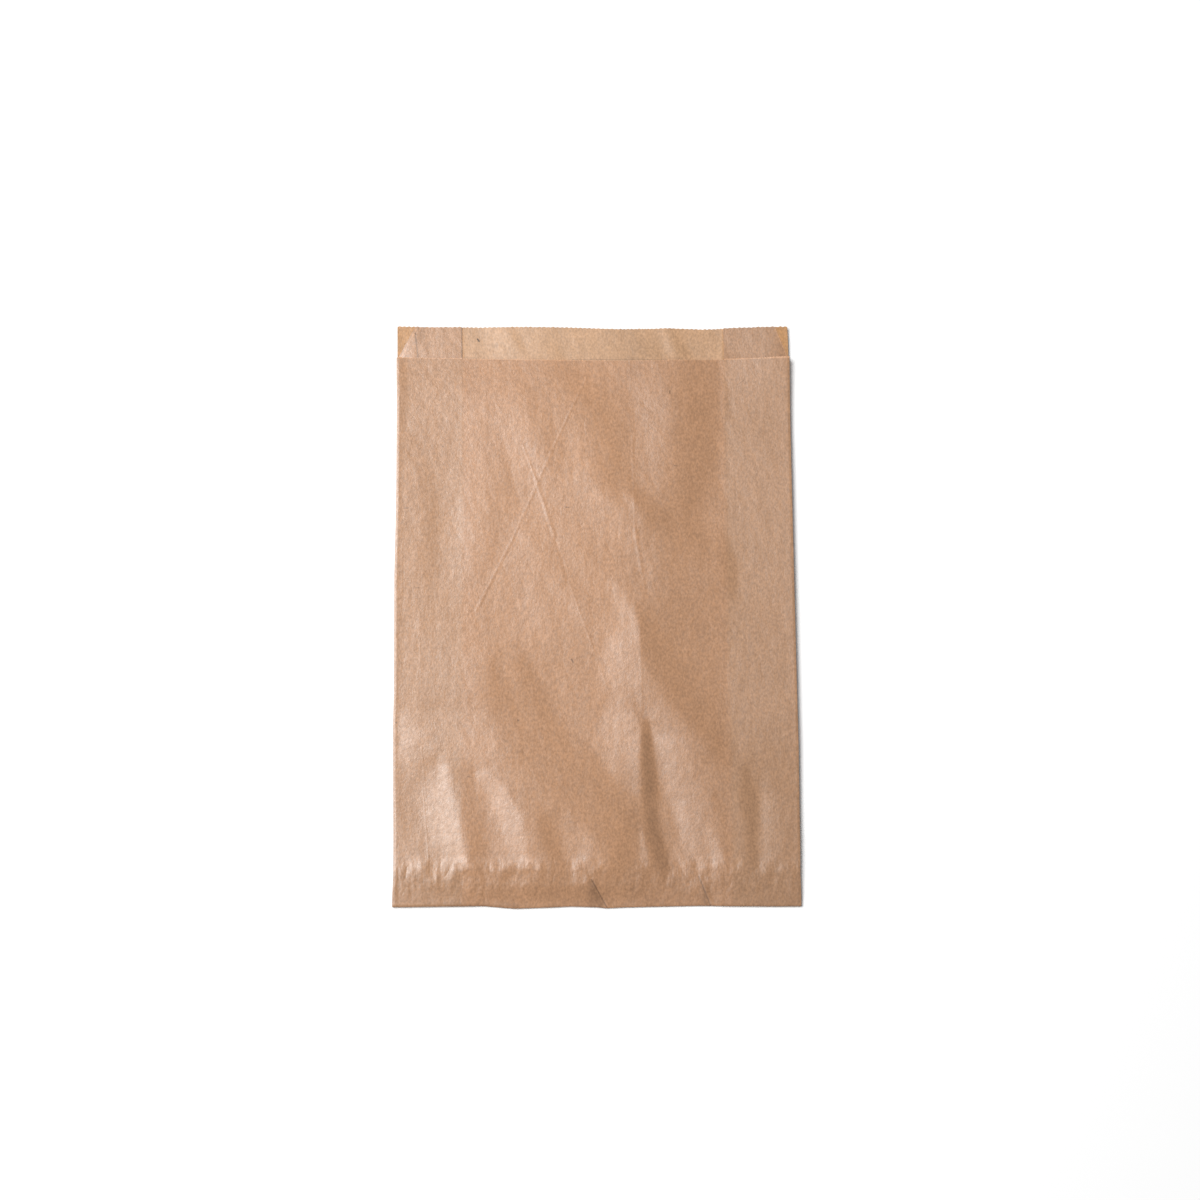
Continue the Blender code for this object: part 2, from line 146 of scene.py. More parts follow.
# How the front leans, drawn in strokes like a shaded sketch. 32 is flat; less leans to the lower right and
# more to the upper left. A stroke has a lean, how firm its left and right edges are, and points down its
# spine, each with its reach to the left and to the right, in millimetres from the middle of the bag. Past
# STROKE_END times its reach, no stroke shows
SOFT, FIRM, HARD = 1.6, 3.0, 6.0
FLAT = 32.0
STROKE_END = 2.3
LEANS = (
    ("left gusset light", 37, SOFT, SOFT,
     ((-57, 92, 4, 4), (-58, 66, 9, 8), (-60, 36, 7, 8), (-62, 4, 5, 6))),
    ("left gusset core", 43, SOFT, SOFT, ((-61, 52, 1, 2), (-62, 36, 3, 3), (-62, 16, 3, 3))),
    ("left hollow", 26, SOFT, SOFT, ((-38, 74, 3, 3), (-40, 56, 7, 7), (-46, 34, 6, 6), (-49, 20, 3, 3))),
    ("left hollow low", 22, SOFT, SOFT, ((-76, 64, 3, 3), (-74, 40, 7, 6), (-74, 16, 4, 4))),
    ("upper hollow", 13, SOFT, SOFT,
     ((-18, 114, 4, 4), (-4, 104, 12, 10), (6, 92, 12, 12), (10, 76, 12, 11), (8, 58, 8, 10))),
    ("below apex left", 20, SOFT, SOFT, ((-28, 96, 4, 6), (-20, 84, 7, 5), (-17, 68, 4, 5))),
    ("mouth light", 34, SOFT, SOFT, ((28, 118, 9, 8), (28, 108, 8, 8))),
    ("mouth patch", 42, SOFT, SOFT, ((18, 104, 2, 4), (26, 99, 6, 7), (35, 92, 5, 3))),
    ("inner streak", 33, SOFT, SOFT, ((22, 92, 2, 4), (26, 80, 4, 4), (28, 66, 3, 4))),
    ("dark column", 4, SOFT, FIRM,
     ((46, 121, 9, 12), (46, 100, 9, 12), (47, 80, 11, 11), (46, 62, 12, 10), (45, 48, 8, 10))),
    ("dark diagonal", -2, SOFT, FIRM,
     ((18, 51, 1, 2), (28, 44, 6, 6), (42, 40, 7, 7), (52, 31, 8, 8), (59, 18, 7, 6), (62, 8, 2, 2))),
    ("right column", 20, SOFT, SOFT, ((54, 50, 6, 5), (54, 10, 8, 5), (53, -30, 9, 5), (56, -68, 6, 3))),
    ("right middle", 17, SOFT, SOFT, ((36, 30, 5, 8), (36, 12, 8, 10), (38, -8, 6, 10))),
    ("apex patch", 43, SOFT, FIRM, ((-40, 82, 3, 4), (-33, 74, 7, 6), (-28, 62, 7, 5), (-23, 48, 5, 5))),
    ("hill", 39, SOFT, FIRM,
     ((-24, 52, 6, 4), (-8, 50, 8, 9), (3, 42, 10, 8), (12, 35, 8, 6), (19, 28, 4, 3))),
    ("hill core", 44, SOFT, SOFT, ((-7, 55, 2, 2), (2, 46, 3, 4), (8, 37, 4, 4), (14, 32, 2, 2))),
    ("middle hollow", 24, SOFT, SOFT, ((-30, 38, 2, 2), (-20, 25, 6, 6), (-13, 15, 4, 4), (-8, 6, 2, 2))),
    ("seam hollow", 21, SOFT, SOFT, ((-8, 30, 3, 3), (4, 23, 7, 7), (16, 16, 6, 6))),
    ("middle light", 37, SOFT, SOFT, ((-34, 26, 5, 6), (-33, 6, 9, 9), (-26, -12, 8, 8), (-12, -22, 8, 8))),
    ("small patch", 46, SOFT, SOFT, ((-29, 10, 2, 2), (-28, 0, 4, 4), (-27, -9, 2, 3))),
    ("small patch right", 46, SOFT, SOFT, ((-19, 12, 2, 2), (-14, 6, 4, 4), (-6, -4, 2, 2))),
    ("seam patch", 54, SOFT, FIRM, ((7, 10, 2, 3), (13, 0, 4, 4), (18, -12, 4, 2))),
    ("left dark zone", 14, SOFT, SOFT,
     ((-46, -26, 4, 6), (-42, -40, 9, 9), (-36, -54, 10, 10), (-26, -66, 8, 8))),
    ("left dark streak", 13, SOFT, SOFT,
     ((-34, -24, 3, 3), (-28, -34, 6, 6), (-23, -46, 6, 7), (-18, -60, 6, 7))),
    ("broad hollow", 13, SOFT, SOFT,
     ((-50, -64, 6, 4), (-20, -70, 12, 10), (2, -78, 14, 12), (14, -92, 14, 9), (12, -110, 6, 6))),
    ("centre light", 33, SOFT, SOFT, ((-14, -18, 6, 6), (-11, -34, 7, 8), (-7, -50, 6, 7))),
    ("seam light", 56, FIRM, FIRM, ((8, -17, 4, 6), (10, -30, 9, 10), (14, -42, 6, 6))),
    ("seam light low", 60, FIRM, HARD, ((9, -46, 5, 8), (9, -57, 9, 11), (13, -68, 9, 7.5), (18, -79, 4, 3))),
    ("seam light spots", 66, SOFT, FIRM, ((17.5, -57, 2, 2.5), (18, -63, 3, 2.5), (18, -68, 2, 2))),
    ("upper fold shade", 5, FIRM, SOFT,
     ((20.5, -6, 1, 5), (26, -18, 6, 10), (36, -34, 8, 12), (46, -50, 7, 9), (54, -66, 3, 4))),
    ("right fold", 64, HARD, SOFT,
     ((20, -41, 1, 3), (27, -50, 6, 5), (36, -66, 11, 10), (42, -84, 13, 13), (46, -102, 15, 13),
      (50, -118, 14, 9))),
    ("right fold core", 94, FIRM, SOFT,
     ((25, -47, 3, 2), (32, -60, 5, 5), (34, -78, 4, 5), (38, -92, 4, 5), (40, -106, 3, 4))),
    ("right fold foot", 22, SOFT, SOFT, ((52, -84, 2, 3), (58, -100, 4, 4), (58, -112, 3, 4))),
    ("deep valley", -8, FIRM, HARD,
     ((22.5, -52, 2, 1.5), (22.5, -66, 2.8, 3), (23.5, -82, 3.4, 4.2), (24.5, -97, 3.6, 4.6),
      (27, -110, 3.4, 4.4), (31, -121, 2, 2))),
    ("right streak dark", -4, SOFT, FIRM,
     ((66, -72, 1, 1), (68, -86, 4, 4), (70, -104, 4, 3), (70, -118, 2, 2))),
    ("right streak light", 68, FIRM, SOFT,
     ((74, -76, 1, 2), (77, -92, 5, 5), (75, -108, 4, 5), (73, -118, 2, 2))),
    ("right streak inner", 42, SOFT, FIRM, ((60, -84, 2, 2), (63, -98, 4, 3), (62, -117, 2, 2))),
    ("foot streak one", 84, FIRM, FIRM, ((39, -103, 2, 2), (44, -111, 3, 2.6), (48, -120, 1.5, 1.5))),
    ("foot streak two", 92, FIRM, FIRM, ((49, -100, 1, 1), (52, -109, 2.6, 2.6), (54, -119, 2, 2))),
    ("seam foot", 62, FIRM, HARD, ((19.5, -100, 1, 1), (20.5, -109, 2, 1.6), (21, -119, 1.6, 1.4))),
    ("left shoulder", 22, SOFT, SOFT, ((-78, -48, 8, 8), (-64, -56, 9, 9), (-48, -64, 7, 7))),
    ("lower left light", 98, SOFT, SOFT,
     ((-96, -74, 20, 14), (-78, -84, 20, 13), (-58, -92, 20, 14), (-40, -99, 18, 14), (-24, -107, 13, 12),
      (-8, -114, 9, 9))),
    ("left edge light", 76, SOFT, SOFT,
     ((-94, -48, 6, 4), (-91, -60, 8, 7), (-86, -74, 8, 9), (-82, -86, 6, 6))),
    ("left foot", 54, SOFT, SOFT, ((-86, -92, 6, 6), (-84, -108, 8, 8), (-78, -118, 6, 6))),
    ("left fold", 118, SOFT, HARD,
     ((-68, -71, 3, 3), (-68, -84, 8, 4.5), (-65.5, -96, 7.5, 6), (-61, -109, 6, 4), (-57, -120, 2.6, 1.6))),
    ("left valley", 46, FIRM, SOFT,
     ((-59, -78, 1, 3), (-57, -90, 3.5, 7), (-54, -104, 4.5, 7), (-53, -118, 2.6, 4))),
    ("left streak", 120, FIRM, HARD,
     ((-52, -74, 2, 2), (-44, -82, 4.4, 4.6), (-38.5, -94, 5, 5.4), (-35, -106, 4.4, 4),
      (-32, -119, 2, 1.4))),
    ("beside left streak", 64, SOFT, SOFT, ((-36, -84, 2, 3), (-27, -93, 4, 5), (-26, -106, 3, 3))),
    ("middle hollow low", 20, FIRM, SOFT, ((-25, -96, 2, 4), (-21, -104, 4, 6), (-17, -113, 4, 4))),
    ("middle swell", 82, SOFT, FIRM,
     ((-15, -95, 2, 3), (-9, -104, 5, 6), (-3, -113, 5, 4.5), (1, -121, 2, 2))),
    ("middle swell core", 100, SOFT, FIRM,
     ((-6, -102, 2, 2), (-3, -110, 4, 4), (-1, -116, 4, 3), (1, -121, 1, 1))),
    ("left rim", 4, SOFT, FIRM, ((-93, 126, 6, 6), (-92, 104, 5, 5), (-91, 84, 3, 3))),
    ("pleat", -20, FIRM, HARD, ((-5, -118, 0.8, 0.8), (-1, -124, 1.4, 1.6), (2, -131, 3.0, 1.6))),
    ("right pleat", -8, FIRM, HARD, ((45, -120, 0.8, 0.8), (49, -127, 1.4, 1.4), (50, -132, 1.4, 1.2))),
)
# The lip's own small folds, drawn in the same way
LIP_LEANS = (
    ("left corner", 18, FIRM, SOFT, ((-90, 133, 2, 4), (-88, 119, 2, 2))),
    ("left nick", 8, FIRM, FIRM, ((-79, 134, 1.4, 1.6), (-80, 128, 0.6, 0.6))),
    ("left fold dark", 6, FIRM, SOFT, ((-38, 131, 0.6, 1.6), (-35, 125, 0.8, 2.4), (-31, 119, 0.8, 2.0))),
    ("left fold light", 44, SOFT, FIRM, ((-31, 124, 1.2, 1.2), (-27, 119, 1.6, 1.6))),
    ("middle nick", 8, FIRM, SOFT, ((-18, 122, 0.8, 1.2), (-15, 118, 1.2, 1.2))),
    ("middle light", 46, SOFT, SOFT, ((-16, 124, 2, 2), (-8, 121, 2.6, 2.6), (2, 119, 2, 2))),
    ("seam shade", 20, SOFT, SOFT, ((12, 130, 4, 4), (24, 126, 5, 5), (29, 122, 1.6, 1.6))),
    ("right fold light", 78, FIRM, FIRM, ((31.5, 132, 0.6, 1), (34, 126, 1.6, 1.4), (35, 120, 2.4, 2.4))),
    ("right fold dark", 4, FIRM, FIRM, ((36, 132, 0.8, 2.0), (38, 127, 0.8, 1.8), (42, 120, 2, 3))),
    ("right second light", 66, FIRM, SOFT, ((43, 124, 1, 1.2), (48, 121, 1.6, 1.8), (54, 119, 2, 2))),
    ("right tab", 28, SOFT, SOFT, ((64, 130, 4, 4), (78, 127, 6, 6), (86, 124, 3, 3))),
    ("left tab", 20, SOFT, SOFT, ((-80, 126, 8, 8), (-68, 126, 8, 8))),
)

# The lean that each level of the sketch stands for, in degrees, and the azimuth that leans are towards. A
# stroke covers half at its reach
LEVELS = (-30, -10, 0, 10, 20, 32, 45, 60, 80, 100, 120)
DEGREES = (-20, -13, -10, -7, -3, 0, 2.2, 4.2, 6.5, 9, 12)
LEAN_FROM = 162.0
HALF_COVER = 1 - 0.5 ** 0.5

# The grid of heights, in millimetres, and how heights follow from leans: how much a change across the lean
# counts, and the length over which swells die out
GRID = 0.5
GRID_X, GRID_Y = 128.0, 192.0
ACROSS = 0.2
LONGEST = 70.0

# Short creases above the bottom fold, in millimetres: how many, how far out and how high they lie, and each
# one's length, slant, reach at its middle and at its ends, and lean
CRUMPLES = 70
CRUMPLE_X = 88.0
CRUMPLE_Y = (-119.5, 2.6)
CRUMPLE_LENGTH = (4.0, 11.0)
CRUMPLE_SLANT = 0.5
CRUMPLE_REACH = (1.0, 2.6)
CRUMPLE_TIP = 0.3
CRUMPLE_LEAN = 26.0

# Faint unevenness all over: its slopes in degrees, and its shortest and longest waves in millimetres
UNEVEN = 0.42
UNEVEN_LENGTHS = (5.0, 20.0)

# How far the outline strays from a rectangle, in millimetres: places along each side, and the offset there
# to the right or upwards. The top's and the bottom's fade out over STRAY_FADE
LEFT_STRAY = ((-128, 0.1), (-118, 0.5), (-104, 0.4), (-80, 0.05), (-50, -0.25), (-38, 0.05), (-8, -0.2),
              (16, -0.35), (40, 0.0), (60, 0.1), (90, 0.0), (100, -0.1), (112, -0.4), (130, -0.6))
RIGHT_STRAY = ((-128, 0.0), (-118, -0.3), (-104, 0.0), (-60, 0.25), (-40, 0.15), (10, 0.05), (60, 0.0),
               (90, 0.05), (118, 0.25), (130, 0.0))
TOP_STRAY = ((-88, 0.6), (-76, 0.3), (-60, 0.4), (-52, 0.2), (-36, 0.4), (-16, 0.2), (0, -0.3),
             (14, -0.7), (24, -0.5), (36, -0.1), (52, -0.5), (64, 0.15), (80, 0.3), (88, 0.4))
BOTTOM_STRAY = ((-88, 0.5), (-60, 0.7), (-50, 0.6), (-40, -0.3), (-36, -0.6), (-20, -0.15), (-12, 0.2),
                (0, -0.2), (4, -0.7), (12, -0.35), (24, -0.15), (44, 0.1), (60, 0.0), (80, -0.2))
STRAY_FADE = 22.0
# The same for the front's cut edge
FRONT_STRAY = ((-88, -0.1), (-76, -0.4), (-60, -0.6), (-30, -0.9), (0, -1.0), (30, -0.9), (52, -0.6),
               (66, -0.3), (80, 0.2), (89, 0.6))
FRONT_FADE = 14.0


def smooth(value, start, end):
    """0 up to start and 1 from end on, with a smooth rise between them."""
    t = np.clip((value - start) / (end - start), 0.0, 1.0)
    return t * t * (3.0 - 2.0 * t)


def cover(x, y, spine, left_power, right_power):
    """How fully a stroke covers each point, from 0 to 1."""
    nearest = np.full_like(x, np.inf)
    share = np.full_like(x, np.inf)
    for (ax, ay, al, ar), (bx, by, bl, br) in zip(spine, spine[1:]):
        run = (bx - ax) ** 2 + (by - ay) ** 2
        t = np.clip(((x - ax) * (bx - ax) + (y - ay) * (by - ay)) / run, 0.0, 1.0)
        away = np.hypot(x - ax - t * (bx - ax), y - ay - t * (by - ay))
        on_right = (bx - ax) * (y - ay) > (by - ay) * (x - ax)
        reach = np.where(on_right, ar + t * (br - ar), al + t * (bl - al))
        power = np.where(on_right, right_power, left_power)
        closer = away < nearest
        nearest = np.where(closer, away, nearest)
        share = np.where(closer, HALF_COVER * (away / reach) ** power, share)
    return (1.0 - np.minimum(share, 1.0)) ** 2


def crumples(draw):
    """Strokes for the short creases above the bottom fold."""
    strokes = []
    for _ in range(CRUMPLES):
        x = draw.uniform(-CRUMPLE_X, CRUMPLE_X)
        y = draw.gauss(*CRUMPLE_Y)
        length = draw.uniform(*CRUMPLE_LENGTH)
        slant = draw.uniform(-CRUMPLE_SLANT, CRUMPLE_SLANT)
        reach = draw.uniform(*CRUMPLE_REACH)
        lean = FLAT + draw.uniform(-1, 1) * CRUMPLE_LEAN
        top = (x - slant * length / 2, y + length / 2, CRUMPLE_TIP, CRUMPLE_TIP)
        foot = (x + slant * length / 2, y - length / 2, CRUMPLE_TIP, CRUMPLE_TIP)
        strokes.append(("crumple", lean, SOFT, FIRM, (top, (x, y, reach, reach), foot)))
    return strokes


def window(places, values, reach):
    """The part of the grid's places that lies within reach of some values."""
    first = np.searchsorted(places, min(values) - reach)
    last = np.searchsorted(places, max(values) + reach)
    return slice(first, last)


class Heights:
    """Heights over the bag, in millimetres, whose slopes are what a sketch of leans says."""

    def __init__(self, strokes, uneven=0.0, seed=1):
        self.xs = np.arange(-GRID_X, GRID_X, GRID)
        self.ys = np.arange(-GRID_Y, GRID_Y, GRID)
        slope = np.tan(np.radians(np.interp(self.sketch(strokes), LEVELS, DEGREES)))
        kx = 2 * np.pi * np.fft.fftfreq(len(self.xs), GRID)[None, :]
        ky = 2 * np.pi * np.fft.fftfreq(len(self.ys), GRID)[:, None]
        azimuth = math.radians(LEAN_FROM)
        along = -(kx * math.cos(azimuth) + ky * math.sin(azimuth))
        across = -kx * math.sin(azimuth) + ky * math.cos(azimuth)
        weight = along ** 2 + ACROSS * across ** 2 + 1 / LONGEST ** 2
        self.values = np.fft.ifft2(-1j * along * np.fft.fft2(slope) / weight).real
        if uneven:
            self.values += uneven * self.unevenness(np.hypot(kx, ky), seed)

    def sketch(self, strokes):
        """The lean drawn at each point of the grid. Later strokes go over earlier ones."""
        levels = np.full((len(self.ys), len(self.xs)), FLAT)
        for _, lean, left_power, right_power, spine in strokes:
            reach = STROKE_END * max(max(point[2:]) for point in spine)
            cols = window(self.xs, [point[0] for point in spine], reach)
            rows = window(self.ys, [point[1] for point in spine], reach)
            x, y = np.meshgrid(self.xs[cols], self.ys[rows])
            covered = cover(x, y, spine, left_power, right_power)
            levels[rows, cols] += covered * (lean - levels[rows, cols])
        return levels

    def unevenness(self, wave, seed):
        """Smooth random heights whose slopes are about one degree."""
        noise = np.random.default_rng(seed).normal(size=(len(self.ys), len(self.xs)))
        short, long = (2 * math.pi / length for length in UNEVEN_LENGTHS)
        band = np.exp(-((wave / short) ** 2)) * (1 - np.exp(-((wave / long) ** 2)))
        heights = np.fft.ifft2(np.fft.fft2(noise) * band).real
        slope = np.gradient(heights, GRID, axis=1).std()
        return heights * math.tan(math.radians(1.0)) / slope

    def at(self, x, y):
        """Height at points given in metres."""
        col = np.clip((x / MM - self.xs[0]) / GRID, 0, len(self.xs) - 2)
        row = np.clip((y / MM - self.ys[0]) / GRID, 0, len(self.ys) - 2)
        i, j = np.floor(row).astype(int), np.floor(col).astype(int)
        u, v = row - i, col - j
        low = self.values[i, j] * (1 - v) + self.values[i, j + 1] * v
        high = self.values[i + 1, j] * (1 - v) + self.values[i + 1, j + 1] * v
        return low * (1 - u) + high * u


def added(name, data):
    """A new object in the scene."""
    thing = bpy.data.objects.new(name, data)
    bpy.context.scene.collection.objects.link(thing)
    return thing


# The crumples draw first from this, then the teeth
draw = random.Random(7)
front_heights = Heights(list(LEANS) + crumples(draw), uneven=UNEVEN)
lip_heights = Heights(LIP_LEANS)


def spring(x, y):
    """How far the nearer side fold springs open, in millimetres."""
    middle_y = (y - LENGTH / 2) / MM
    left = np.interp(middle_y, *zip(*LEFT_SPRING))
    right = np.interp(middle_y, *zip(*RIGHT_SPRING))
    return np.where(x < 0, left, right)


def gusset_lift(x, y):
    """How far the gusset's front half is bent up at points, in millimetres."""
    share = np.clip((np.abs(x) - CREASE_X) / (SIDE_X - CREASE_X), 0.0, 1.0)
    return spring(x, y) * share ** SPRING_BEND


def between_gussets(x, ease=BETWEEN_EASE):
    """1 in the middle and 0 from the gussets' creases outwards."""
    return 1.0 - smooth(np.abs(x), CREASE_X - ease, CREASE_X)


def front_relief(x, y):
    """The front's swells at points, in millimetres, over a straight line between its sides."""
    middle_y = y - LENGTH / 2
    edge = SIDE_X - SIDE_MARGIN
    left = front_heights.at(np.full_like(x, -edge), middle_y)
    right = front_heights.at(np.full_like(x, edge), middle_y)
    share = (x + edge) / (2 * edge)
    relief = front_heights.at(x, middle_y) - left * (1 - share) - right * share
    from_side = smooth(edge - np.abs(x), 0.0, SIDE_RISE)
    relief *= from_side * smooth(y, FOLD_Y + HEM_RISE[0], FOLD_Y + HEM_RISE[1])
    relief *= 1 - MOUTH_FLATTER * smooth(y, FRONT_Y - MOUTH_FADE, FRONT_Y)
    return relief


def front_lift(x, y):
    """How far the front is lifted at points, in metres; y is the distance from the bottom."""
    relief = front_relief(x, y)
    middle = MIDDLE_LIFT * smooth(y, FOLD_Y, FOLD_Y + MIDDLE_RISE)
    base = middle + (spring(x, y) - middle) * (x / SIDE_X) ** 2
    least = gusset_lift(x, y) - SINK * between_gussets(x)
    return (least + np.logaddexp(0.0, (base + relief - least) * STIFFNESS) / STIFFNESS) * MM


def corner_curl(x, y):
    """How far the right corner of the mouth curls up, in metres."""
    return CORNER_CURL * MM * smooth(x, CURL_X, SIDE_X) * smooth(y, FRONT_Y - CURL_LENGTH, LIP_Y)


def lip_lift(x, y):
    """How far the layers under the front are lifted near the mouth, in metres."""
    near_mouth = smooth(y, FRONT_Y - LIP_RISE[0], FRONT_Y - LIP_RISE[1])
    between = between_gussets(x, LIP_EASE)
    follow = LIP_FOLLOW * front_lift(x, np.minimum(y, FRONT_Y)) * between
    own = lip_heights.at(x, y - LENGTH / 2) * MM * smooth(y, FRONT_Y - LIP_FOLDS, FRONT_Y)
    return np.maximum(near_mouth * (follow + own + LIP_STAND * between), 0.0)


def stack_height(x, y, layer):
    """Height of the middle of the paper above the floor, on top of the bottom fold."""
    in_front = np.clip(layer - GUSSET_FRONT, 0.0, 1.0)
    bent_up = np.clip(layer - GUSSET_BACK, 0.0, 1.0)
    flap_ease = FLAP_EASE + in_front * (OVER_FLAP_EASE - FLAP_EASE)
    gusset_ease = GUSSET_EASE + in_front * (OVER_GUSSET_EASE - GUSSET_EASE)
    on_flap = 1.0 - smooth(y, FLAP_END, FLAP_END + flap_ease)
    on_gusset_flap = smooth(np.abs(x), CREASE_X - PITCH - gusset_ease, CREASE_X - PITCH)
    height = PAPER / 2 + PITCH * (layer + on_flap * (1.0 + on_gusset_flap)) + corner_curl(x, y)
    low = lip_lift(x, y)
    under = low + bent_up * gusset_lift(x, y) * MM
    high = np.maximum(front_lift(x, y), low - SINK * MM * between_gussets(x))
    return height + under + in_front * (high - under)


def stray(places, table):
    """The offset that a table gives at places along a side, in metres."""
    along, offsets = zip(*table)
    return np.interp(places / MM, along, offsets) * MM


def strayed(x, y):
    """Points of the flat bag, moved with its outline; y is the distance from the middle."""
    share = x / BAG_WIDTH + 0.5
    near_top = smooth(y, LENGTH / 2 - STRAY_FADE * MM, LENGTH / 2)
    near_bottom = smooth(-y, LENGTH / 2 - STRAY_FADE * MM, LENGTH / 2)
    moved_x = x + (1 - share) * stray(y, LEFT_STRAY) + share * stray(y, RIGHT_STRAY)
    moved_y = y + near_top * stray(x, TOP_STRAY) + near_bottom * stray(x, BOTTOM_STRAY)
    return moved_x, moved_y


def placed(spots):
    """Where folding carries each spot of the sheet."""
    x, y, layer, flap_layer, turn = np.array(spots).T
    top = stack_height(x, y, layer)
    high = stack_height(x, np.full_like(x, FOLD_Y), layer)
    low = PAPER / 2 + PITCH * flap_layer
    out = (high - low) / 2 * np.sin(turn)
    z = np.where(turn > 0, (high + low) / 2 + (high - low) / 2 * np.cos(turn), top)
    moved_x, moved_y = strayed(x, y - LENGTH / 2 - np.where(turn > 0, out, 0.0))
    in_front = np.clip(layer - GUSSET_FRONT, 0.0, 1.0)
    near_cut = in_front * smooth(y, FRONT_Y - FRONT_FADE * MM, FRONT_Y)
    moved_y += near_cut * stray(x, FRONT_STRAY)
    return np.stack([moved_x, moved_y, z], axis=1)


class Line:
    """A line down the flat sheet: where folding puts it across the bag, in which layer, and its rows."""

    def __init__(self, x, layer, flap_layer=None, fine=False, lip=False):
        self.x = x
        self.layer = layer
        self.flap_layer = flap_layer
        self.fine = fine
        self.lip = lip
        self.points = {}

    def rows(self):
        """(turn about the bottom fold, distance from the bottom) of each row, from the flap to the mouth."""
        rows = [(0.0, y) for y in (FINE_ROWS if self.fine else COARSE_ROWS)]
        if self.flap_layer is not None:
            wrap = [(UNDER * i / WRAP_TURNS, FOLD_Y) for i in range(WRAP_TURNS, 0, -1)]
            rows = [(UNDER, FLAP_Y)] + wrap + rows
        if self.lip:
            rows += [(0.0, y) for y in LIP_ROWS]
        return rows

    def spot(self, turn, y):
        """What placed() has to know of a point of the line."""
        return (self.x, y, self.layer, -1.0 if self.flap_layer is None else self.flap_layer, turn)


def steps(start, end, step):
    """Evenly spaced values after start, up to end."""
    count = max(1, round(abs(end - start) / step))
    return [start + (end - start) * i / count for i in range(1, count + 1)]


ON_FLOOR = FLAP_END + FLAP_EASE
COARSE_ROWS = [FOLD_Y, FLAP_END, ON_FLOOR] + steps(ON_FLOOR, MOUTH_START, COARSE_STEP)
COARSE_ROWS += steps(MOUTH_START, FRONT_Y, MOUTH_STEP)
LIP_ROWS = steps(FRONT_Y, LIP_Y, MOUTH_STEP)


def rows_between(marks, step):
    """Evenly spaced rows that include all the marks."""
    rows = [marks[0]]
    for start, end in zip(marks, marks[1:]):
        rows += steps(start, end, step)
    return rows


def fine_rows():
    """Rows that include every coarse one, closer together."""
    hem = [y for y in COARSE_ROWS if y <= HEM_END]
    rest = [y for y in COARSE_ROWS if y >= hem[-1]]
    return rows_between(hem, HEM_STEP) + rows_between(rest, FRONT_STEP)[1:]


FINE_ROWS = fine_rows()


def fold_lines(x, side, first, second, flap_layers=None, fine=False):
    """The lines inside a sharp fold between two layers. It bulges towards side, which is -1 or 1."""
    lines = []
    for i in range(1, FOLD_TURNS):
        turn = math.pi * i / FOLD_TURNS
        share = (1.0 - math.cos(turn)) / 2
        flap_layer = flap_layers and flap_layers[0] + share * (flap_layers[1] - flap_layers[0])
        bulged = x + side * PITCH / 2 * math.sin(turn)
        lines.append(Line(bulged, first + share * (second - first), flap_layer, fine))
    return lines


def lines_across(xs, layer, **kind):
    """A line of one kind at each place across the bag."""
    return [Line(x, layer, **kind) for x in xs]


def gusset_lines(side):
    """One side of the bag, from its fold with the back to its fold with the front."""
    outer, inner, corner = side * SIDE_X, side * CREASE_X, SIDE_X - TAB_SLANTS[side]
    tab = [side * x for x in [corner] + steps(corner, CREASE_X, BACK_STEP)]
    front_half = [inner] + [side * x for x in steps(CREASE_X, SIDE_X, BACK_STEP)]
    lines = fold_lines(outer, side, BACK, GUSSET_BACK)
    lines += [Line(outer, GUSSET_BACK)] + lines_across(tab, GUSSET_BACK, lip=True)
    lines += fold_lines(inner, -side, GUSSET_BACK, GUSSET_FRONT)
    lines += lines_across(front_half, GUSSET_FRONT, flap_layer=1.0)
    return lines + fold_lines(outer, side, GUSSET_FRONT, FRONT, (1.0, 0.0), fine=True)


def front_lines():
    """The front, from its left fold to its right one."""
    edge = SIDE_X - SIDE_MARGIN
    xs = [-SIDE_X, -edge] + steps(-edge, SEAM_SPAN[0], FRONT_STEP) + steps(*SEAM_SPAN, SEAM_STEP)
    xs += steps(SEAM_SPAN[1], edge, FRONT_STEP) + [SIDE_X]
    return lines_across(xs, FRONT, flap_layer=0.0, fine=True)


def sheet_lines():
    """Every line across the sheet, from the seam's outer edge round the bag to its inner one."""
    flap_x, ease_x = CREASE_X - PITCH, CREASE_X - PITCH - GUSSET_EASE
    seam_middle = (SEAM_EDGE + SEAM_END) / 2
    under_left = [-x for x in steps(-SEAM_EDGE, ease_x, BACK_STEP)]
    under_left += [-flap_x] + [-x for x in steps(flap_x, SIDE_X, BACK_STEP)]
    left = lines_across([SEAM_END, seam_middle, SEAM_EDGE] + under_left, BACK, lip=True)
    lap_foot = SEAM_END + LAYER_GAP + SEAM_EASE
    under_right = [SIDE_X] + steps(SIDE_X, flap_x, BACK_STEP) + [ease_x]
    under_right += steps(ease_x, lap_foot, BACK_STEP)
    right = lines_across(under_right, BACK, lip=True)
    right += lines_across([SEAM_END + LAYER_GAP, seam_middle, SEAM_EDGE], LAPPED, lip=True)
    return left + gusset_lines(-1) + front_lines() + gusset_lines(1)[::-1] + right


def teeth(spots, left, right, turn, y):
    """The points of the pinked cut between two lines."""
    count = max(1, round(abs(right.x - left.x) / TOOTH_PITCH))
    points = []
    for i in range(1, 2 * count):
        share = i / (2 * count)
        layer = left.layer + share * (right.layer - left.layer)
        between = Line(left.x + share * (right.x - left.x), layer, left.flap_layer)
        depth = i % 2 * TOOTH_DEPTH * draw.uniform(*TOOTH_SHARES)
        points.append(len(spots))
        spots.append(between.spot(turn, y + depth))
    return points


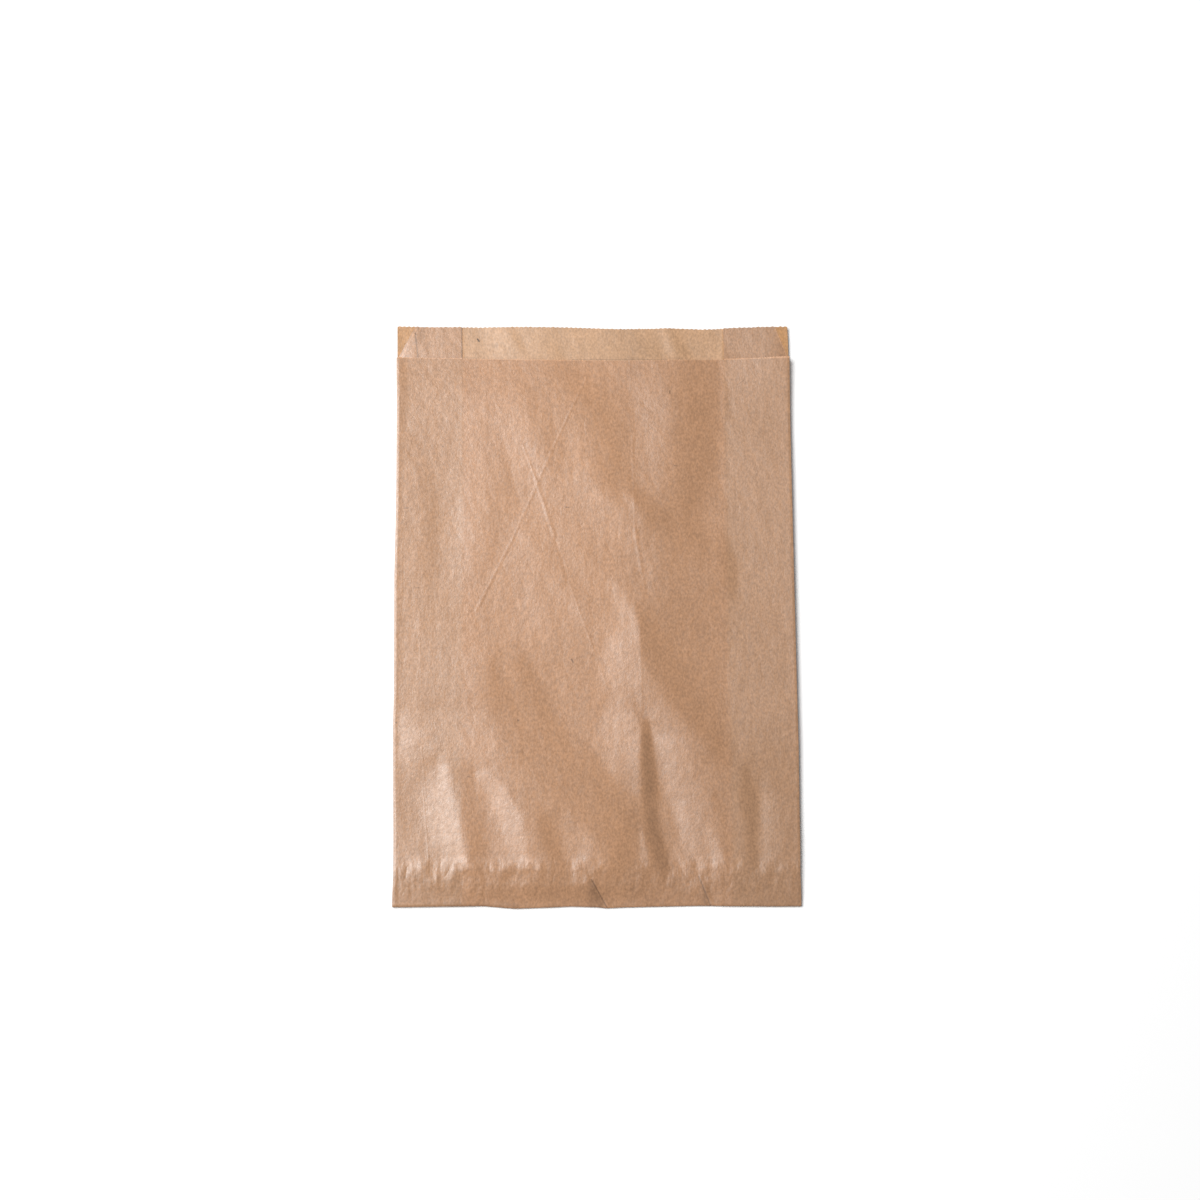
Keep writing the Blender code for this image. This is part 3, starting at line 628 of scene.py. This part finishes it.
def span(rows, low, high):
    """The rows from low to high, both included."""
    return rows[rows.index(low) : rows.index(high) + 1]


def strip_faces(spots, left, right):
    """The faces between two neighbouring lines, one between each pair of rows that both have."""
    faces = []
    left_rows, right_rows = left.rows(), right.rows()
    theirs = set(right_rows)
    shared = [row for row in left_rows if row in theirs]
    pinked = abs(right.x - left.x) > TOOTH_PITCH / 2
    for low, high in zip(shared, shared[1:]):
        up = [left.points[row] for row in span(left_rows, low, high)]
        down = [right.points[row] for row in span(right_rows, low, high)][::-1]
        start = teeth(spots, left, right, *low)[::-1] if pinked and low == (UNDER, FLAP_Y) else []
        cut = high == left_rows[-1] == right_rows[-1]
        end = teeth(spots, left, right, *high) if pinked and cut else []
        faces.append((up + end + down + start)[::-1])
    return faces


def tab_edge(left, right):
    """The slanted corner of a gusset's tab, if two lines lie on either side of one."""
    tip, foot = (left, right) if left.lip else (right, left)
    if abs(tip.x - foot.x) < min(TAB_SLANTS.values()) / 2:
        return []
    rows = [(0.0, y) for y in [FRONT_Y] + LIP_ROWS]
    fan = [tip.points[row] for row in rows] + [foot.points[rows[0]]]
    return [fan if tip.x < 0 else fan[::-1]]


def folded_sheet():
    """The spots of the sheet and the faces between them."""
    spots, faces = [], []
    lines = sheet_lines()
    for line in lines:
        for row in line.rows():
            line.points[row] = len(spots)
            spots.append(line.spot(*row))
    for left, right in zip(lines, lines[1:]):
        faces += strip_faces(spots, left, right)
        if left.lip != right.lip:
            faces += tab_edge(left, right)
    return spots, faces


def thin_sheet():
    """The folded sheet, and the modifier that makes it as thick as paper."""
    spots, faces = folded_sheet()
    sheet = bpy.data.meshes.new("sheet")
    sheet.from_pydata(placed(spots).tolist(), [], faces)
    sheet.validate()
    holder = added("sheet", sheet)
    solid = holder.modifiers.new("thickness", "SOLIDIFY")
    solid.thickness = PAPER
    solid.offset = 0.0
    solid.use_even_offset = True
    solid.material_offset = 1
    solid.material_offset_rim = 2
    for name in ("kraft_outside", "kraft_inside", "kraft_edge"):
        sheet.materials.append(bpy.data.materials.new(name))
    return holder


def paper_bag():
    """The bag's mesh, with the paper's thickness, smooth but for the paper's edges."""
    holder = thin_sheet()
    graph = bpy.context.evaluated_depsgraph_get()
    mesh = bpy.data.meshes.new_from_object(holder.evaluated_get(graph))
    bpy.data.objects.remove(holder)
    mesh.name = "paper_bag"
    mesh.polygons.foreach_set("use_smooth", [True] * len(mesh.polygons))
    mesh.set_sharp_from_angle(angle=math.radians(SHARP))
    return added("paper_bag", mesh)


class Nodes:
    """A material's nodes. A value is a number, a colour or another node's socket."""

    def __init__(self, material):
        material.use_nodes = True
        self.tree = material.node_tree
        self.shader = self.tree.nodes["Principled BSDF"]

    def add(self, kind, inputs=(), **settings):
        node = self.tree.nodes.new("ShaderNode" + kind)
        for name, value in settings.items():
            setattr(node, name, value)
        for key, value in dict(inputs).items():
            self.put(value, node.inputs[key])
        return node

    def put(self, value, socket):
        if isinstance(value, bpy.types.NodeSocket):
            self.tree.links.new(value, socket)
        else:
            socket.default_value = value

    def math(self, operation, *values):
        node = self.add("Math", operation=operation)
        for i, value in enumerate(values):
            self.put(value, node.inputs[i])
        return node.outputs[0]

    def plus(self, first, second):
        return self.math("ADD", first, second)

    def minus(self, first, second):
        return self.math("SUBTRACT", first, second)

    def times(self, first, second):
        return self.math("MULTIPLY", first, second)

    def ramp(self, value, start, end, low=0.0, high=1.0):
        """A smooth change from low at start to high at end."""
        inputs = {"Value": value, "From Min": start, "From Max": end, "To Min": low, "To Max": high}
        return self.add("MapRange", inputs, interpolation_type="SMOOTHSTEP").outputs[0]

    def noise(self, place, scale, detail=2.0, stretch=(1.0, 1.0, 1.0)):
        moved = self.add("Mapping", {"Vector": place, "Scale": stretch})
        node = self.add("TexNoise", {"Vector": moved.outputs[0], "Scale": scale, "Detail": detail})
        return node.outputs[0]

    def mix(self, share, first, second):
        """A mix of two colours. Its sockets go by number, as its other kinds have the same names."""
        inputs = {0: share, 6: first, 7: second}
        return self.add("Mix", inputs, data_type="RGBA").outputs[2]

    def scaled(self, colour, factor):
        inputs = {0: colour, "Scale": factor}
        return self.add("VectorMath", inputs, operation="SCALE").outputs[0]

    def dot(self, first, second):
        inputs = {0: first, 1: second}
        return self.add("VectorMath", inputs, operation="DOT_PRODUCT").outputs["Value"]

    def parts(self, vector):
        return self.add("SeparateXYZ", {0: vector}).outputs


# Creases too thin for the mesh: the ridge's height, half its width, and its two ends, in millimetres
THIN_CREASES = (
    ("crease a top", 0.034, 0.5, (-3.3, 108), (-17.5, 77.4)),
    ("crease a middle", 0.028, 0.6, (-17.5, 77.4), (-37.3, 32.2)),
    ("crease a low", 0.036, 0.6, (-37.3, 32.2), (-53.6, -0.5)),
    ("crease b top", 0.03, 0.5, (-32.5, 75.5), (-26.7, 60)),
    ("crease b bright", 0.055, 0.75, (-26.7, 60), (-18.2, 33)),
    ("crease b middle", -0.03, 0.7, (-18.2, 33), (-12.3, 13.9)),
    ("crease b low", 0.02, 0.45, (-12.3, 13.9), (-0.8, -18.8)),
    ("crease b end", 0.012, 0.4, (-0.8, -18.8), (6, -38)),
    ("seam top", 0.012, 0.5, (16.6, 117), (17.6, 86)),
    ("seam upper", 0.022, 0.5, (17.4, 80), (18.2, 36)),
    ("seam line", 0.055, 0.8, (18.2, 36), (21, 18)),
    ("seam line low", 0.02, 0.5, (21, 18), (22.4, 8)),
    ("seam middle", 0.030, 0.6, (20, -8), (20.4, -46)),
    ("left line one", 0.016, 0.35, (-77.5, -62), (-75.5, -84)),
    ("left line two", 0.018, 0.35, (-77, -78), (-74, -112)),
    ("left line three", 0.010, 0.35, (-79, -8), (-78, -34)),
    ("left edge line", 0.012, 0.35, (-87, 30), (-87, 8)),
    ("right gusset line", 0.035, 1.1, (59.8, 118), (59.8, 88)),
    ("right gusset line low", 0.007, 0.5, (59.8, 88), (59.6, -70)),
    ("pleat edge", 0.14, 0.7, (-1.6, -120.5), (5.2, -132.6)),
    ("pleat start", 0.08, 0.6, (-8, -116), (-2.4, -121)),
    ("right pleat edge", 0.12, 0.7, (45.8, -119.5), (50.8, -132)),
    ("left gusset line", 0.007, 0.5, (-60.6, 118), (-60.2, 20)),
)
# Marks on the lip: darkness, half the width, and the two ends, in millimetres. The first is the seam's
# doubled paper; the third is a painted highlight and the last a painted shadow. A negative darkness is pale
LIP_MARKS_AND_PAINTED_LIGHT = (
    ("seam lap", 0.085, 6.0, (16.2, 140), (16.2, 110)),
    ("comma", 0.85, 0.4, (-53.5, 126.9), (-52.8, 125.8)),
    # A painted highlight beside the right tab, and a painted shadow in the gap behind the front
    ("painted highlight beside the right tab", -0.08, 0.4, (59.3, 133), (59.3, 117)),
    ("painted shadow behind the front", 0.22, 0.3, (-10, 116.9), (34, 116.9)),
)
# Marks on the outside, in the same way: specks, the tabs' rims, and painted shade and highlights on folds and
# edges
SPECKS_AND_PAINTED_LIGHT = (
    ("front fleck one", 0.45, 0.3, (-69.2, 75.2), (-68.7, 75.0)),
    ("front fleck two", 0.6, 0.22, (-13.2, 46.9), (-11.6, 46.9)),
    ("left dash", 0.4, 0.25, (-86.5, 46.4), (-84.4, 46.5)),
    ("left dash low", 0.4, 0.22, (-80.8, 9.8), (-79.4, 9.9)),
    ("low comma", 0.6, 0.35, (-10.8, -22.7), (-10.2, -23.9)),
    ("low fleck", 0.5, 0.3, (-35.0, -49.9), (-34.6, -50.1)),
    ("edge fleck", 0.5, 0.3, (-89.2, -50.9), (-88.8, -51.0)),
    ("right hair", 0.4, 0.14, (66.0, 104.6), (69.4, 107.0)),
    ("right fleck", 0.5, 0.35, (34.8, 101.4), (34.9, 100.4)),
    ("middle dash", 0.5, 0.2, (36.4, 66.2), (38.0, 66.1)),
    ("red dash", 0.35, 0.25, (-57.0, -75.0), (-55.0, -75.6)),
    ("low hair", 0.35, 0.14, (-46.8, -64.2), (-44.8, -65.2)),
    ("right low hair", 0.4, 0.14, (61.8, -32.4), (63.2, -31.6)),
    # Painted shade in the left tab's crease, and a painted shadow along its folded edge
    ("tab crease", 0.42, 0.35, (-82.2, 129.5), (-80.9, 118)),
    ("tab crease shade", 0.12, 1.2, (-78.4, 131.5), (-79.6, 126.5)),
    ("painted shadow at the left tab's edge", 0.38, 0.32, (-60.9, 132.5), (-60.7, 118)),
    ("left tab rim", -0.25, 0.4, (-88.2, 118.4), (-81.9, 131.4)),
    ("right tab rim", -0.3, 0.4, (84.2, 131.4), (89.4, 118.4)),
    # A painted highlight on the right gusset's crease
    ("painted highlight on the right gusset", -0.07, 1.1, (59.9, 117.2), (59.9, 92)),
    # Painted shade in the deep valley, in and along the pleats, and along the bottom fold
    ("valley shade", 0.15, 2.8, (22.6, -58), (24.2, -90)),
    ("valley shade low", 0.17, 3.0, (24.4, -93), (29, -114)),
    ("pleat shade", 0.30, 1.4, (-2.4, -123), (1.6, -132)),
    ("pleat shade beside", 0.22, 1.6, (-3.4, -126), (-1.2, -133)),
    ("pleat line", 0.45, 0.35, (-2.6, -120.5), (4.2, -132.6)),
    ("right pleat line", 0.35, 0.4, (44.8, -119.5), (49.8, -132)),
    ("right pleat shade", 0.16, 1.2, (46.6, -124.5), (47.8, -131)),
    ("fold shade", 0.14, 1.4, (-66, -131.2), (-36, -132.2)),
)
# How many times half its width a mark and a crease take to fade out
MARK_REACH = 1.6
CREASE_REACH = 2.0


def near_segment(nodes, place, first, last, reach):
    """1 on a short line and falling to 0 at its reach. place is in millimetres."""
    ax, ay = first
    dx, dy = last[0] - ax, last[1] - ay
    length = math.hypot(dx, dy)
    moved = nodes.add("Mapping", {"Vector": place, "Location": (-ax, -ay, 0.0)}).outputs[0]
    along = nodes.dot(moved, (dx / length, dy / length, 0.0))
    aside = nodes.dot(moved, (-dy / length, dx / length, 0.0))
    from_centre = nodes.math("ABSOLUTE", nodes.minus(along, length / 2))
    over = nodes.math("MAXIMUM", nodes.minus(from_centre, length / 2), 0.0)
    squares = nodes.plus(nodes.math("POWER", over, 2.0), nodes.math("POWER", aside, 2.0))
    return nodes.ramp(nodes.math("SQRT", squares), 0.0, reach, 1.0, 0.0)


# The front's cut edge, in millimetres: two distances from the middle and how far up it lies there, half the
# width and the softness of the painted highlight along it, and how much paler that is
CUT_ACROSS = (20.0, 85.0)
CUT_UP = (116.35, 117.2)
CUT_HALF = 0.5
CUT_SOFT = 0.3
EDGE_HIGHLIGHT = 0.4


def front_edge_highlight(nodes, up, across):
    """A painted highlight along the front's cut edge. across is the distance from the middle."""
    cut = nodes.ramp(across, *CUT_ACROSS, *CUT_UP)
    above_cut = nodes.minus(up, cut)
    from_below = nodes.ramp(above_cut, -CUT_HALF, CUT_SOFT - CUT_HALF)
    to_above = nodes.ramp(above_cut, CUT_HALF, CUT_HALF + CUT_SOFT, 1.0, 0.0)
    return nodes.math("MULTIPLY_ADD", nodes.times(from_below, to_above), EDGE_HIGHLIGHT, 1.0)


# How far up a face has to look for the front's marks and creases to show on it in full
LOOKS_UP = 0.2


def facing_up(nodes):
    """1 on faces that look up and 0 on the back's."""
    normal = nodes.add("TexCoord").outputs["Normal"]
    return nodes.ramp(nodes.parts(normal)["Z"], 0.0, LOOKS_UP)


# Noises: waves to a millimetre, detail, and how much closer the waves are across, up and through the paper
BLOTCHES = (0.16, 3.0, (1.0, 0.6, 1.0))
FLOCKS = (1.1, 4.0, (1.0, 0.7, 1.0))
FIBRES = (1.0, 2.0, (4.0, 0.8, 1.0))
GLOSS_PATCHES = (0.5, 2.0)
SLANTED_CREASES = (0.075, 2.5, (1.0, 0.45, 1.0))
UPRIGHT_CREASES = (0.12, 2.0, (1.0, 0.3, 1.0))
CRUMPLE_WAVES = (0.2, 2.0, (1.3, 0.6, 1.0))
CRUMPLE_CREASES = (0.1, 1.0, (1.4, 0.7, 1.0))
COCKLES = (0.36, 2.0, (1.0, 0.7, 1.0))
GRAIN = (1.3, 3.0, (1.2, 0.8, 1.0))
# The bands of a noise's values that a change is spread over
NARROW, WIDE = (0.3, 0.7), (0.25, 0.75)

# How much the flocks, the fibres and the blotches change the tone
FLOCK_CHANGE = 0.17
FIBRE_CHANGE = 0.09
MOTTLE = 0.035
# The tone over the whole bag, by millimetres from its middle, with a painted fall-off of light to the right
# and towards the bottom, and painted shade where the front bends down to the bottom fold
SEAM_X = (6.0, 20.0)
LIGHT_FALLOFF_TO_RIGHT = -0.0003
TONE_MIDDLE = 0.985
BOTTOM_Y = (-110.0, 40.0)
LIGHT_FALLOFF_AT_BOTTOM = 0.925
# Painted shade where the front bends down to the bottom fold
HEM_Y = (-122.0, -114.0)
HEM_PAINTED_SHADE = 0.96
# Where the gussets' creases show through
GUSSET_X = (58.8, 60.8)

# The gloss: how strong it is, how patchy, and how much rougher the paper gets for each millimetre to the
# right and at the bottom fold
GLAZE = 0.62
REFRACTION = 1.5
PATCHY = 0.04
ROUGHNESS_RISE = 0.0003
HEM_ROUGH_Y = (-121.0, -112.0)
HEM_ROUGHNESS = 0.03


def varied(nodes, place, noise, band, change):
    """A factor that a noise brings to as much as change above or below 1."""
    return nodes.ramp(nodes.noise(place, *noise), *band, 1 - change, 1 + change)


def broad_tone_and_light_falloff(nodes, across, up, over_seam):
    """How the tone changes over the whole bag: darker right of the seam, and a painted fall-off of light to
    the right and towards the bottom.
    """
    past_seam = nodes.ramp(across, *SEAM_X, 1.0, over_seam)
    # A painted fall-off of light, darker to the right and towards the bottom
    falloff_to_right = nodes.math("MULTIPLY_ADD", across, LIGHT_FALLOFF_TO_RIGHT, TONE_MIDDLE)
    falloff_to_bottom = nodes.ramp(up, *BOTTOM_Y, LIGHT_FALLOFF_AT_BOTTOM, TONE_MIDDLE)
    return nodes.times(past_seam, nodes.times(falloff_to_right, falloff_to_bottom))


def paper_tone(nodes, place, across, up, over_seam, mottle):
    """The tone of the unmarked paper: its blotches, flocks and fibres over the broad changes, and painted
    shade near the bottom fold.
    """
    broad = broad_tone_and_light_falloff(nodes, across, up, over_seam)
    blotches = varied(nodes, place, BLOTCHES, NARROW, mottle)
    flocks = varied(nodes, place, FLOCKS, WIDE, FLOCK_CHANGE)
    fibres = varied(nodes, place, FIBRES, WIDE, FIBRE_CHANGE)
    factor = nodes.times(nodes.times(blotches, flocks), nodes.times(fibres, broad))
    # Painted shade where the front bends down to the bottom fold
    return nodes.times(factor, nodes.ramp(up, *HEM_Y, HEM_PAINTED_SHADE, 1.0))


def marks_and_painted_light_tone(nodes, place, marks, tone):
    """A tone with marks over it, among them painted shade and highlights, on faces that look up."""
    for _, darkness, reach, first, last in marks:
        mark = near_segment(nodes, place, first, last, reach * MARK_REACH)
        tone = nodes.times(tone, nodes.minus(1.0, nodes.times(mark, darkness)))
    return nodes.math("MULTIPLY_ADD", facing_up(nodes), nodes.minus(tone, 1.0), 1.0)


def add_gloss(nodes, place, across, up, roughness):
    """The paper's shine, which is patchy, and duller to the right and at the bottom fold."""
    patchy = nodes.ramp(nodes.noise(place, *GLOSS_PATCHES), *NARROW, roughness - PATCHY, roughness + PATCHY)
    patchy = nodes.math("MULTIPLY_ADD", across, ROUGHNESS_RISE, patchy)
    rough = nodes.plus(patchy, nodes.ramp(up, *HEM_ROUGH_Y, HEM_ROUGHNESS, 0.0))
    nodes.put(rough, nodes.shader.inputs["Roughness"])
    nodes.shader.inputs["IOR"].default_value = REFRACTION
    nodes.shader.inputs["Specular IOR Level"].default_value = GLAZE


# Relief too fine for the mesh, in millimetres, and the angle of the slanted soft creases in degrees
SLANT = -24.0
SLANTED_HEIGHT = 0.24
UPRIGHT_HEIGHT = 0.12
WAVE_HEIGHT = 0.42
CREASE_HEIGHT = 0.65
COCKLE_HEIGHT = 0.055
GRAIN_HEIGHT = 0.028
# Where the crumples end above, and where and how far they fade below
CRUMPLES_ABOVE = (-117.0, -109.0)
CRUMPLES_BELOW = (-131.0, -122.0)
CRUMPLES_LEFT = 0.35


def creased(nodes, place, noise):
    """A noise folded over at its middle, which makes soft creases."""
    return nodes.math("ABSOLUTE", nodes.minus(nodes.noise(place, *noise), 0.5))


def crinkle_heights(nodes, place):
    """Soft handling creases all over, about a centimetre apart."""
    turn = (0.0, 0.0, math.radians(SLANT))
    turned = nodes.add("Mapping", {"Vector": place, "Rotation": turn}).outputs[0]
    slanted = nodes.times(creased(nodes, turned, SLANTED_CREASES), SLANTED_HEIGHT)
    upright = nodes.times(creased(nodes, place, UPRIGHT_CREASES), UPRIGHT_HEIGHT)
    return nodes.plus(slanted, upright)


def crumple_heights(nodes, place):
    """Short upright creases where the front bends down to the bottom fold."""
    up = nodes.parts(place)["Y"]
    above = nodes.ramp(up, *CRUMPLES_ABOVE, 1.0, 0.0)
    below = nodes.ramp(up, *CRUMPLES_BELOW, CRUMPLES_LEFT, 1.0)
    creases = nodes.times(creased(nodes, place, CRUMPLE_CREASES), CREASE_HEIGHT)
    height = nodes.math("MULTIPLY_ADD", nodes.noise(place, *CRUMPLE_WAVES), WAVE_HEIGHT, creases)
    return nodes.times(nodes.times(above, below), height)


def ridge_heights(nodes, place, creases):
    """The thin creases, one by one."""
    ridges = 0.0
    for _, ridge, reach, first, last in creases:
        near = near_segment(nodes, place, first, last, reach * CREASE_REACH)
        ridges = nodes.math("MULTIPLY_ADD", near, ridge, ridges)
    return ridges


def add_bump(nodes, place, creases):
    """Relief too fine for the mesh, in real heights. The thin creases stay off the back."""
    cockle = nodes.ramp(nodes.noise(place, *COCKLES), 0.0, 1.0, 0.0, COCKLE_HEIGHT)
    grain = nodes.ramp(nodes.noise(place, *GRAIN), 0.0, 1.0, 0.0, GRAIN_HEIGHT)
    fine = nodes.plus(nodes.plus(cockle, grain), crinkle_heights(nodes, place))
    height = nodes.plus(fine, crumple_heights(nodes, place))
    height = nodes.math("MULTIPLY_ADD", facing_up(nodes), ridge_heights(nodes, place, creases), height)
    bump = nodes.add("Bump", {"Strength": 1.0, "Distance": MM, "Height": height})
    nodes.put(bump.outputs[0], nodes.shader.inputs["Normal"])


def kraft(material, colour, side_colour, roughness, marks=(), creases=(), over_seam=1.0, mottle=MOTTLE,
          edge_highlight=False):
    """Kraft paper, whose marks include painted shade and highlights. side_colour is for where the gussets lie
    underneath, over_seam for right of the seam.
    """
    nodes = Nodes(material)
    place = nodes.scaled(nodes.add("TexCoord").outputs["Object"], 1 / MM)
    parts = nodes.parts(place)
    across, up = parts["X"], parts["Y"]
    from_middle = nodes.math("ABSOLUTE", across)
    tint = nodes.mix(nodes.ramp(from_middle, *GUSSET_X), colour, side_colour)
    tone = paper_tone(nodes, place, across, up, over_seam, mottle)
    # A painted highlight along the front's cut edge
    edge_highlight_tone = front_edge_highlight(nodes, up, from_middle) if edge_highlight else 1.0
    tone = nodes.times(tone, marks_and_painted_light_tone(nodes, place, marks, edge_highlight_tone))
    nodes.put(nodes.scaled(tint, tone), nodes.shader.inputs["Base Color"])
    add_gloss(nodes, place, across, up, roughness)
    add_bump(nodes, place, creases)


# The paper's colours, and where the gussets lie underneath or beside
OUTSIDE = (0.458, 0.243, 0.129, 1.0)
OUTSIDE_BESIDE = (0.438, 0.241, 0.132, 1.0)
INSIDE = (0.500, 0.292, 0.160, 1.0)
INSIDE_BESIDE = (0.470, 0.238, 0.092, 1.0)
EDGE = (0.46, 0.30, 0.19, 1.0)
OUTSIDE_ROUGHNESS = 0.34
INSIDE_ROUGHNESS = 0.42
EDGE_ROUGHNESS = 0.8

bag = paper_bag()
outside, inside, edge = bag.data.materials
# Both sides get painted shade and highlights among their marks, the outside a painted highlight on the cut
# edge
kraft(outside, OUTSIDE, OUTSIDE_BESIDE, OUTSIDE_ROUGHNESS, SPECKS_AND_PAINTED_LIGHT, THIN_CREASES, over_seam=0.93,
      edge_highlight=True)
kraft(inside, INSIDE, INSIDE_BESIDE, INSIDE_ROUGHNESS, LIP_MARKS_AND_PAINTED_LIGHT, over_seam=0.98, mottle=0.06)
kraft(edge, EDGE, EDGE, EDGE_ROUGHNESS)

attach(bag, "root")
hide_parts("pastry_bag")

# The floor: half its width and how far it lies below the bag, in metres, and its paint
FLOOR_HALF = 3.0
FLOOR_DROP = 0.0001
FLOOR_COLOUR = (0.96, 0.96, 0.96, 1.0)
FLOOR_ROUGHNESS = 0.9


def white_floor():
    """The plain floor under the bag."""
    mesh = bpy.data.meshes.new("floor")
    corners = [(x * FLOOR_HALF, y * FLOOR_HALF, 0) for x, y in ((-1, -1), (1, -1), (1, 1), (-1, 1))]
    mesh.from_pydata(corners, [], [(0, 1, 2, 3)])
    floor = added("floor", mesh)
    floor.location.z = -FLOOR_DROP
    material = bpy.data.materials.new("white_floor")
    paint = Nodes(material).shader.inputs
    paint["Base Color"].default_value = FLOOR_COLOUR
    paint["Roughness"].default_value = FLOOR_ROUGHNESS
    paint["Specular IOR Level"].default_value = 0.0
    mesh.materials.append(material)


# The soft light, in degrees, metres and watts, and the even light from all round
LIGHT_FROM = 155.0
LIGHT_ELEVATION = 62.0
LIGHT_DISTANCE = 2.5
LIGHT_SIZE = 1.4
LIGHT_POWER = 72.0
FILL = 0.25


def soft_light():
    """A square soft light from the upper left and a white surrounding."""
    data = bpy.data.lights.new("softbox", "AREA")
    data.size = LIGHT_SIZE
    data.energy = LIGHT_POWER
    light = added("softbox", data)
    azimuth, elevation = math.radians(LIGHT_FROM), math.radians(LIGHT_ELEVATION)
    out, up = LIGHT_DISTANCE * math.cos(elevation), LIGHT_DISTANCE * math.sin(elevation)
    light.location = (out * math.cos(azimuth), out * math.sin(azimuth), up)
    light.rotation_euler = (-light.location).to_track_quat("-Z", "Y").to_euler()
    world = bpy.data.worlds.new("studio")
    world.use_nodes = True
    backdrop = world.node_tree.nodes["Background"]
    backdrop.inputs["Color"].default_value = (1.0, 1.0, 1.0, 1.0)
    backdrop.inputs["Strength"].default_value = FILL
    bpy.context.scene.world = world


# The camera, fitted to the bag's corners in the photo, in millimetres, metres and degrees
LENS = 58.86
CAMERA_PLACE = (-0.0239, -0.1456, 0.8733)
CAMERA_TURN = (9.768, -1.642, -0.396)


def photo_camera():
    """The photo's own view of the bag."""
    data = bpy.data.cameras.new("camera")
    data.lens = LENS
    camera = added("camera", data)
    camera.location = CAMERA_PLACE
    camera.rotation_euler = Euler([math.radians(angle) for angle in CAMERA_TURN])
    bpy.context.scene.camera = camera


white_floor()
soft_light()
photo_camera()
view = bpy.context.scene.view_settings
view.view_transform = "Standard"
view.look = "None"
